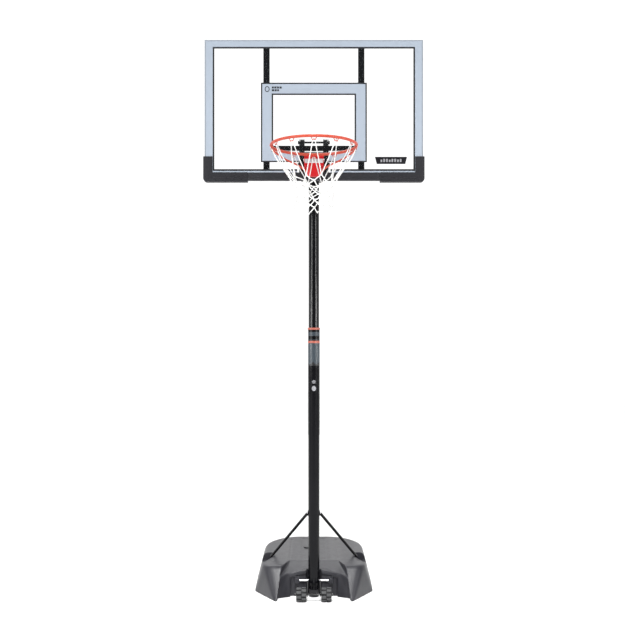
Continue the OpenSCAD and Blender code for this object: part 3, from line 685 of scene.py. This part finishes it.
def springs():
    rim = Parts()
    for x in (-0.022, 0.022):
        coil(rim, (x, -0.5134, 2.702), (0, -1, 0), 0.0109, 0.0020, 0.0846, 8)
    o = piece("rim_spring_coils", rim, MATS["spring"], "upper", ["rim_springs"])
    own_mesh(o)
    pin = Parts()
    coil(pin, (0, 0.1626, 1.6), (0, -1, 0), 0.0069, 0.0009, 0.0232, 7)
    o = piece("pin_spring_coil", pin, MATS["spring"], "base", ["pin_spring"])
    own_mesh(o)


# ---- Rim and net ----

RING = Vector((0, -0.848, 2.743))
HOOKS = 12


def at_ring(angle, radius, z):
    return Vector((radius * math.cos(angle), RING.y + radius * math.sin(angle), z))


def hooks():
    """W-shaped wire clips welded under the ring."""
    p = Parts()
    for i in range(HOOKS):
        a = 2 * math.pi * i / HOOKS
        shape = [(-16, 2736.5), (-13, 2733), (-9, 2724), (-6, 2721), (-3, 2724), (0, 2730),
                 (3, 2724), (6, 2721), (9, 2724), (13, 2733), (16, 2736.5)]
        path = curve_through([at_ring(a + s / 236.5, 0.2365, z / 1000) for s, z in shape], 4)
        p.tube(path, 0.0021, 8)
    piece("net_clips", p, MATS["rim_paint"], "rim", ["net_hooks"])


def knot(parts, at, size, tilt):
    """A small overhand knot."""
    turn = (Matrix.Translation(at) @ Matrix.Rotation(tilt, 4, "Z")
            @ Matrix.Rotation(math.radians(90), 4, "X"))
    path = []
    for k in range(18):
        t = 2 * math.pi * k / 18
        path.append(turn @ Vector(((math.sin(t) + 2 * math.sin(2 * t)) * size * 0.36,
                                   (math.cos(t) - 2 * math.cos(2 * t)) * size * 0.36,
                                   -math.sin(3 * t) * size * 0.4)))
    parts.tube(path, 0.0027, 7, closed=True)


def net():
    # Radius and height of each row of knots
    rows = [(0.136, 2.558), (0.116, 2.530), (0.110, 2.502), (0.109, 2.474),
            (0.110, 2.447), (0.111, 2.420), (0.113, 2.395)]
    knots = []
    for j, (r, z) in enumerate(rows):
        line = []
        for i in range(HOOKS):
            a = 2 * math.pi * (i + 0.5 * ((j + 1) % 2)) / HOOKS
            jitter = (RNG.uniform(-1, 1), RNG.uniform(-1, 1), RNG.uniform(-1, 1))
            last = 2.5 if j == len(rows) - 1 else 1
            line.append(at_ring(a + 0.085 * jitter[0], r + 0.006 * jitter[1],
                                z + 0.006 * last * jitter[2]))
        knots.append(line)
    p = Parts()
    cord_r = 0.0027
    for i in range(HOOKS):
        a = 2 * math.pi * i / HOOKS
        left, right = knots[0][i - 1], knots[0][i]
        for target, s in ((left, -1), (right, 1)):
            top = at_ring(a + s * 0.006 / 0.2365, 0.2325, 2.7215)
            over = at_ring(a + s * 0.0045 / 0.2365, 0.2368, 2.7262)
            out = (top - RING).to_2d().to_3d().normalized()
            mid1 = top.lerp(target, 0.35) + Vector((0, 0, -0.003)) + out * 0.006
            mid2 = top.lerp(target, 0.72) + out * 0.003
            p.tube(curve_through([over, top, mid1, mid2, target], 5), cord_r, 8)
        loop = [at_ring(a + s / 236.5, rr / 1000, z / 1000) for s, rr, z in (
            (-4.5, 236.8, 2726.2), (-2.5, 238.2, 2730.2), (0, 238.6, 2731.5),
            (2.5, 238.2, 2730.2), (4.5, 236.8, 2726.2))]
        p.tube(curve_through(loop, 3), cord_r, 8)
    for j in range(len(rows) - 1):
        for i in range(HOOKS):
            start = knots[j][i]
            below = knots[j + 1]
            ends = (below[i], below[(i + 1) % HOOKS]) if j % 2 == 0 else (below[i - 1], below[i])
            for end in ends:
                mid = start.lerp(end, 0.5)
                out = (mid - RING).to_2d().to_3d().normalized()
                mid += out * RNG.uniform(-0.001, 0.006) + Vector((0, 0, RNG.uniform(-0.006, 0.001)))
                p.tube(curve_through([start, mid, end], 5), cord_r, 8)
    for j, line in enumerate(knots):
        for i, at in enumerate(line):
            a = math.atan2(at.y - RING.y, at.x)
            knot(p, at, 0.0042, a + math.pi / 2 + RNG.uniform(-0.3, 0.3))
    piece("net_cords", p, MATS["cord"], "rim", ["net"], angle=80)


def braces():
    p = Parts()
    route = [(236, -812, 2733), (207, -748, 2717), (163, -683, 2701), (112, -630, 2687), (80, -606, 2675),
             (40, -588, 2648)]
    for s in (-1, 1):
        p.tube(curve_through([Vector((s * x, y, z)) / 1000 for x, y, z in route], 8), 0.0052, 14)
    piece("rim_brace_rods", p, MATS["rim_paint"], "rim", ["rim_braces"])


# ---- Board print, pads and labels ----

FACE = -0.508


def flat_bar(parts, x0, x1, z0, z1, y0=FACE - 0.0004, y1=FACE + 0.0001):
    parts.box((x0, y0, z0), (x1, y1, z1))


def board_print():
    silver, black = Parts(), Parts()
    for s in (-1, 1):
        xs = sorted((s * 0.597, s * 0.637))
        flat_bar(silver, xs[0], xs[1], 2.668, 3.434)
        xs = sorted((s * 0.587, s * 0.597))
        flat_bar(black, xs[0], xs[1], 2.668, 3.400)
    flat_bar(silver, -0.597, 0.597, 3.400, 3.434)
    flat_bar(black, -0.587, 0.587, 3.390, 3.400)
    gap = 0.098
    for s in (-1, 1):
        xs = sorted((s * gap, s * 0.587))
        flat_bar(black, xs[0], xs[1], 2.668, 2.679)
        xs = sorted((s * gap, s * 0.637))
        flat_bar(silver, xs[0], xs[1], 2.658, 2.668)
        # The shooter's square, whose foot is open round the rim bracket
        xs = sorted((s * 0.088, s * 0.3125))
        flat_bar(black, xs[0], xs[1], 2.720, 2.728)
        xs = sorted((s * 0.088, s * 0.3045))
        flat_bar(silver, xs[0], xs[1], 2.728, 2.780)
        xs = sorted((s * 0.3045, s * 0.3125))
        flat_bar(black, xs[0], xs[1], 2.728, 3.189)
        xs = sorted((s * 0.249, s * 0.3045))
        flat_bar(silver, xs[0], xs[1], 2.780, 3.181)
        xs = sorted((s * 0.240, s * 0.249))
        flat_bar(black, xs[0], xs[1], 2.780, 3.116)
    flat_bar(black, -0.3045, 0.3045, 3.181, 3.189)
    flat_bar(silver, -0.249, 0.249, 3.125, 3.181)
    flat_bar(black, -0.249, 0.249, 3.116, 3.125)
    piece("print_silver", silver, MATS["ink_silver"], "upper")
    piece("print_black", black, MATS["ink_black"], "upper")
    marks = Parts()
    turn = Matrix.Translation((-0.2755, 0, 3.151)) @ Matrix.Rotation(math.radians(90), 4, "X")
    outer, inner = ([(r * math.sin(math.pi * k / 6) * 0.82, r * math.cos(math.pi * k / 6))
                     for k in range(12)] for r in (0.0175, 0.0125))
    v = [(x, y, h) for h in (0.5083, 0.5088) for ring in (outer, inner) for x, y in ring]
    f = []
    for k in range(12):
        q = (k + 1) % 12
        f += [(k, q, 24 + q, 24 + k), (12 + k, 36 + k, 36 + q, 12 + q),
              (24 + k, 24 + q, 36 + q, 36 + k), (k, 12 + k, 12 + q, q)]
    marks.add(v, f, turn)
    for z, blocks in ((3.1545, ((-0.248, -0.236), (-0.233, -0.221), (-0.218, -0.206), (-0.203, -0.190))),
                      (3.1385, ((-0.248, -0.234), (-0.231, -0.219), (-0.216, -0.206)))):
        for x0, x1 in blocks:
            flat_bar(marks, x0, x1, z, z + 0.0115, FACE - 0.0008, FACE - 0.0003)
    piece("print_marks", marks, MATS["ink_black"], "upper")


def rounded_node(name, node, width, material, body, segments=3):
    """A copy of a CAD node with clean faces and rounded edges."""
    o = NODES[node].copy()
    o.data = NODES[node].data.copy()
    o.name = name
    o.data.name = name
    o.parent = None
    for key in list(o.keys()):
        if key.startswith("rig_"):
            del o[key]
    bpy.context.scene.collection.objects.link(o)
    bm = bmesh.new()
    bm.from_mesh(o.data)
    bmesh.ops.remove_doubles(bm, verts=bm.verts, dist=0.00002)
    bmesh.ops.dissolve_limit(bm, angle_limit=math.radians(0.5), verts=bm.verts, edges=bm.edges)
    bm.to_mesh(o.data)
    bm.free()
    bevelled(o, width, segments)
    return place_piece(o, material, body, [node])


def pads():
    for side in ("left", "right"):
        o = rounded_node(f"pad_corner_{side}", f"corner_pad_{side}", 0.006, MATS["pad"],
                         "upper")
    o = rounded_node("pad_bottom", "bottom_pad", 0.005, MATS["pad"], "upper")
    # A raised rib along each pad's face
    ribs = Parts()
    for s in (-1, 1):
        xs = sorted((s * 0.400, s * 0.600))
        ribs.box((xs[0], -0.5155, 2.6275), (xs[1], -0.5135, 2.6335))
        ribs.box((xs[0], -0.5155, 2.6135), (xs[1], -0.5135, 2.6175))
    ribs.box((-0.375, -0.5133, 2.6235), (0.375, -0.5115, 2.6295))
    piece("pad_ribs", ribs, MATS["pad"], "upper", bevel=0.0009)


def badge():
    """A blank name plate: a raised rim and plain blocks, with no lettering."""
    lo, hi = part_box("board_badge")
    cx, cz = (lo.x + hi.x) / 2, (lo.z + hi.z) / 2
    outer = [(-95, 21), (95, 21), (84, -21), (-84, -21)]
    inner = [(-90, 17), (90, 17), (80.5, -17), (-80.5, -17)]
    turn = Matrix.Translation((cx, 0, cz)) @ Matrix.Rotation(math.radians(90), 4, "X")
    rim = Parts()
    rim.prism([(x / 1000, z / 1000) for x, z in reversed(outer)], 0.508, 0.5095, turn)
    n = 4
    ring = Parts()
    v = [(x / 1000, z / 1000, h) for h in (0.5085, 0.5105) for o in (outer, inner) for x, z in o]
    f = []
    for i in range(n):
        j = (i + 1) % n
        f += [(i, j, 8 + j, 8 + i), (4 + i, 12 + i, 12 + j, 4 + j),
              (8 + i, 8 + j, 12 + j, 12 + i), (i, 4 + i, 4 + j, j)]
    ring.add(v, f, turn)
    rim.v, rim.f = rim.v + ring.v, rim.f + [[i + len(rim.v) for i in q] for q in ring.f]
    piece("badge_plate", rim, MATS["badge"], "upper", ["board_badge"], bevel=0.0008)
    field = Parts()
    for k in range(8):
        x = cx + (k - 3.5) * 0.0162
        top = 0.009 if k % 3 else 0.005
        field.box((x - 0.0052, -0.5101, cz - 0.009), (x + 0.0052, -0.5094, cz + top))
    piece("badge_bars", field, MATS["label_grey"], "upper", bevel=0.0004)


POLE_Y = 0.092
STRIP_THICKNESS = 0.0009


def arc_strip(parts, r, z0, z1, half, steps):
    """A thin curved strip round the front of the pole, to an angle of half on each side."""
    v = []
    for q in range(steps + 1):
        a = -math.pi / 2 + half * (2 * q / steps - 1)
        v += [(rr * math.cos(a), POLE_Y + rr * math.sin(a), zz)
              for rr in (r - STRIP_THICKNESS, r) for zz in (z0, z1)]
    f = [(0, 1, 3, 2), tuple(4 * steps + k for k in (0, 2, 3, 1))]
    for q in range(steps):
        b = 4 * q
        f += [(b, b + 4, b + 5, b + 1), (b + 2, b + 3, b + 7, b + 6), (b, b + 2, b + 6, b + 4),
              (b + 1, b + 5, b + 7, b + 3)]
    parts.add(v, f)


def labels():
    p = Parts()
    p.box((-0.053, -0.6036, 2.6965), (0.053, -0.6026, 2.7205))
    piece("housing_label", p, MATS["label_white"], "rim", bevel=0.0004)
    bars = Parts()
    for x0, x1, z in ((-0.040, 0.012, 2.712), (-0.040, 0.030, 2.706), (-0.040, -0.004, 2.701)):
        bars.box((x0, -0.6040, z), (x1, -0.6034, z + 0.0022))
    piece("housing_label_bars", bars, MATS["label_grey"], "rim")
    marks, wrap = Parts(), Parts()
    for z, half in ((1.4115, 0.20), (1.4035, 0.34), (1.3955, 0.26), (1.3720, 0.20),
                    (1.3655, 0.33), (1.3590, 0.36), (1.3525, 0.34), (1.3460, 0.22)):
        arc_strip(marks, 0.0388, z, z + (0.0048 if z > 1.38 else 0.0066), half, 6)
    arc_strip(wrap, 0.0385, 1.704, 1.730, 1.35, 16)
    arc_strip(wrap, 0.0385, 1.676, 1.680, 1.35, 16)
    lower_band = Parts()
    arc_strip(lower_band, 0.0392, 1.6575, 1.6725, 1.45, 16)
    piece("label_band", lower_band, MATS["orange"], "base")
    piece("collar_label", wrap, MATS["label_plain"], "base")
    piece("pole_marks", marks, MATS["label_grey"], "base")


# ---- Everything ----

MATS = {
    "tank": tank_skin(),
    "black_plastic": moulded("black_plastic", (0.014, 0.014, 0.016), 0.45),
    "wheel": moulded("wheel_plastic", (0.010, 0.010, 0.011), 0.5, 500, 0.0008, 0.5, spec=0.2),
    # Painted light: the tread blocks take a paler copy of the wheel plastic, standing for the light on
    # them against the shaded gaps.
    "tread": moulded("tread_plastic_painted_light", (0.05, 0.051, 0.053), 0.55, 500, 0.0008, 0.5, spec=0.3),
    "rubber": moulded("seal_rubber", (0.012, 0.012, 0.012), 0.8, 400),
    "black_steel": powder_coat("black_powder_coat", (0.003, 0.003, 0.004), 0.18, spec=0.18),
    "gloss_steel": powder_coat("gloss_powder_coat", (0.003, 0.003, 0.004), 0.14, 110, spec=0.42),
    "frame": powder_coat("frame_paint", (0.28, 0.31, 0.35), 0.4, vary=0.06),
    "rim_paint": powder_coat("rim_paint", (0.46, 0.060, 0.032), 0.3, vary=0.1, spec=0.35),
    "rim_red": powder_coat("housing_paint", (0.52, 0.012, 0.016), 0.32, vary=0.1),
    "zinc": plated("zinc_plate", (0.78, 0.78, 0.8)),
    "spring": plated("spring_steel", (0.5, 0.5, 0.52), 0.35),
    "orange": moulded("orange_collar", (0.44, 0.12, 0.085), 0.38, 900, 0.0004, 0.3),
    "red_plastic": moulded("red_knob", (0.6, 0.02, 0.015), 0.35, 900, 0.0004, 0.3),
    "water": moulded("water", (0.02, 0.045, 0.06), 0.15, 60, 0.0006, 0.2),
    "white_plastic": moulded("white_plastic", (0.75, 0.75, 0.74), 0.45),
    "pad": moulded("pad_plastic", (0.020, 0.020, 0.024), 0.5, 520, 0.0012, 0.6, spec=0.3),
    "badge": moulded("badge_plastic", (0.009, 0.009, 0.012), 0.35, 900, 0.0005, 0.4, spec=0.25),
    "ink_silver": printed("ink_silver", (0.385, 0.44, 0.515)),
    "ink_black": printed("ink_black", (0.016, 0.017, 0.02)),
    "label_white": printed("label_white", (0.55, 0.53, 0.54), 0.5),
    "label_grey": printed("label_grey", (0.30, 0.30, 0.32), 0.5),
    "label": label_mat(),
    "label_plain": moulded("label_plain", (0.035, 0.048, 0.060), 0.35, 900, 0.0003, 0.2),
    "clear": clear_panel(),
    "cord": cord_mat(),
}


WELD_DISTANCE = 0.00002
# The plug's drawn facets would cross the bore's, which reach in further than its true radius
PLUG_SETBACK = 0.0003
# Keeps the water out of sight behind the tank's rounded walls
WATER_SETBACK = 0.007


def pull_in(o, depth):
    """Set a node's surface back along its normals, as one closed skin."""
    o.modifiers.new("weld", "WELD").merge_threshold = WELD_DISTANCE
    mod = o.modifiers.new("back", "DISPLACE")
    mod.mid_level = 0
    mod.strength = -depth


def level_water():
    """The water's edges recede as the moulded tank's rounded walls do."""
    o = NODES["water_fill"]
    skin = o.modifiers.new("skin", "REMESH")
    skin.mode = "VOXEL"
    skin.voxel_size = 0.012
    soft = o.modifiers.new("soft", "SMOOTH")
    soft.factor = 0.5
    soft.iterations = 40
    pull_in(o, WATER_SETBACK)


ARMS = ("arm_upper_left", "arm_upper_right", "arm_lower_left", "arm_lower_right")
BARS = ("channel_left", "channel_right", "cross_bar", "board_bar_left", "board_bar_right")
FRAME = ("frame_top", "frame_bottom", "frame_left", "frame_right")


def dress_nodes():
    dress(MATS["gloss_steel"], "pole_upper")
    dress(MATS["black_steel"], "wheel_brackets", "pole_lower", "pole_middle", "strut_left",
          "strut_right", "lock_housing", "head_bracket", *ARMS, "arm_bolts", *BARS,
          "backing_plate", "wheel_axle", "axle_caps")
    dress(MATS["frame"], *FRAME)
    dress(MATS["zinc"], "pole_rod", "pole_screw", "strut_bolt", "strut_base_bolts",
          "lock_pin", "rim_spacers", "rim_bolts", "hinge_pin")
    dress(MATS["black_plastic"], "fill_cap", "foot_cap", "pole_cap")
    dress(MATS["rubber"], "cap_seal")
    dress(MATS["orange"], "slide_collar")
    dress(MATS["red_plastic"], "pin_knob")
    dress(MATS["white_plastic"], "guide_plug")
    pull_in(NODES["guide_plug"], PLUG_SETBACK)
    dress(MATS["water"], "water_fill")
    level_water()
    dress(MATS["label"], "height_label")
    dress(MATS["clear"], "board_panel")
    dress(MATS["rim_paint"], "ring", "rim_mount")
    dress(MATS["rim_red"], "rim_housing")
    for n in ("head_bracket", *ARMS, *BARS, *FRAME, "lock_housing", "backing_plate",
              "rim_mount", "wheel_brackets"):
        soften(n, 0.0008)
    soften("rim_housing", 0.0015)
    soften("fill_cap", 0.0008)


def floor():
    mesh = bpy.data.meshes.new("floor")
    s = 30
    mesh.from_pydata([(-s, -s, 0), (s, -s, 0), (s, s, 0), (-s, s, 0)], [], [(0, 1, 2, 3)])
    o = bpy.data.objects.new("floor", mesh)
    bpy.context.scene.collection.objects.link(o)
    m = Mat("floor_pale", 0.9, spec=0.1)
    m.color(m.mix(m.noise(0.8, 2), (0.93, 0.93, 0.93), (0.95, 0.95, 0.95)))
    o.data.materials.append(m.m)


studio()
floor()
dress_nodes()
tank()
wheel("wheel_tread_left", "wheel_l", "wheel_left", -1)
wheel("wheel_tread_right", "wheel_r", "wheel_right", 1)
springs()
hooks()
net()
braces()
board_print()
pads()
badge()
labels()

bpy.context.view_layer.update()
